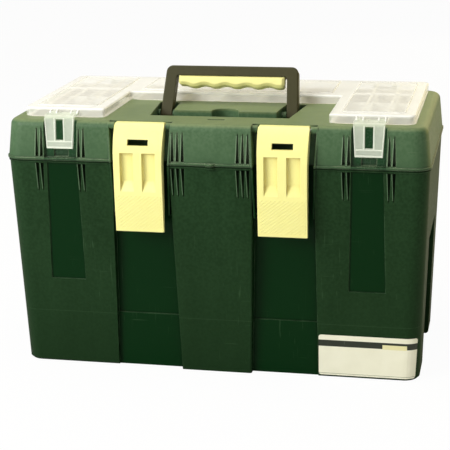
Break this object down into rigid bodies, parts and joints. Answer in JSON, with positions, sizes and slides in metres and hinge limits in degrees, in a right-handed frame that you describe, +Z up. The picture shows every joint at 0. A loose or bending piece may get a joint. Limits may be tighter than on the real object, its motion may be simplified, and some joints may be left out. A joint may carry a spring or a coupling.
{
  "type": "tackle box",
  "caption": "Deep moulded tackle box with a hinged lid, organizer bins under a milky cover, front latches, a folding handle and a sliding inner tray.",
  "frame": {"origin": "on the floor, under the middle of the tub", "axes": "+X to the right seen from the front, +Y to the back, where the lid's hinges are, +Z up"},
  "size_m": [0.43, 0.2469, 0.2999],
  "materials": {
    "green_tub": "moulded, fine grain",
    "green_lid": "moulded, fine grain",
    "green_tray": "moulded, smooth",
    "natural_dividers": "natural, smooth",
    "natural_bins": "natural, smooth",
    "milky_cover": "milky, satin",
    "milky_clips": "milky, satin",
    "yellow_latches": "moulded, satin gloss",
    "yellow_grip": "moulded, satin gloss",
    "olive_handle": "moulded, satin",
    "steel_pins": "drawn wire"
  },
  "bodies": {
    "tub": {"tub": "green_tub", "hinge_pin_left": "steel_pins", "hinge_pin_right": "steel_pins"},
    "tray": {"tray": "green_tray", "tray_dividers": "natural_dividers"},
    "lid": {"lid": "green_lid", "latch_pin_left": "steel_pins", "latch_pin_right": "steel_pins", "handle_pin_left": "steel_pins", "handle_pin_right": "steel_pins", "cover_hinge_pins": "steel_pins", "organizer_bin_left": "natural_bins", "organizer_bin_right": "natural_bins", "organizer_bin_rear": "natural_bins", "bin_dividers_left": "natural_dividers", "bin_dividers_right": "natural_dividers", "bin_dividers_rear": "natural_dividers"},
    "cover": {"organizer_cover": "milky_cover"},
    "clip_left": {"clip_left": "milky_clips"},
    "clip_right": {"clip_right": "milky_clips"},
    "latch_left": {"latch_left": "yellow_latches"},
    "latch_right": {"latch_right": "yellow_latches"},
    "handle": {"handle_bail": "olive_handle", "handle_grip": "yellow_grip"}
  },
  "joints": [
    {"name": "lid_hinge", "type": "hinge", "parent": "tub", "child": "lid", "pos_m": [0, 0.1194, 0.2202], "axis": [-1, 0, 0], "range_deg": [0, 105]},
    {"name": "cover_hinge", "type": "hinge", "parent": "lid", "child": "cover", "pos_m": [0, 0.107, 0.262], "axis": [-1, 0, 0], "range_deg": [0, 105]},
    {"name": "clip_left_hinge", "type": "hinge", "parent": "cover", "child": "clip_left", "pos_m": [-0.155, -0.0922, 0.2647], "axis": [-1, 0, 0], "range_deg": [0, 100]},
    {"name": "clip_right_hinge", "type": "hinge", "parent": "cover", "child": "clip_right", "pos_m": [0.155, -0.0922, 0.2647], "axis": [-1, 0, 0], "range_deg": [0, 100]},
    {"name": "latch_left_hinge", "type": "hinge", "parent": "lid", "child": "latch_left", "pos_m": [-0.0723, -0.1042, 0.2562], "axis": [-1, 0, 0], "range_deg": [0, 100]},
    {"name": "latch_right_hinge", "type": "hinge", "parent": "lid", "child": "latch_right", "pos_m": [0.0723, -0.1042, 0.2562], "axis": [-1, 0, 0], "range_deg": [0, 100]},
    {"name": "handle_fold", "type": "hinge", "parent": "lid", "child": "handle", "pos_m": [0, -0.016, 0.2514], "axis": [1, 0, 0], "range_deg": [0, 115]},
    {"name": "tray_slide", "type": "slide", "parent": "tub", "child": "tray", "axis": [0, -1, 0], "range_m": [0, 0.09]}
  ]
}
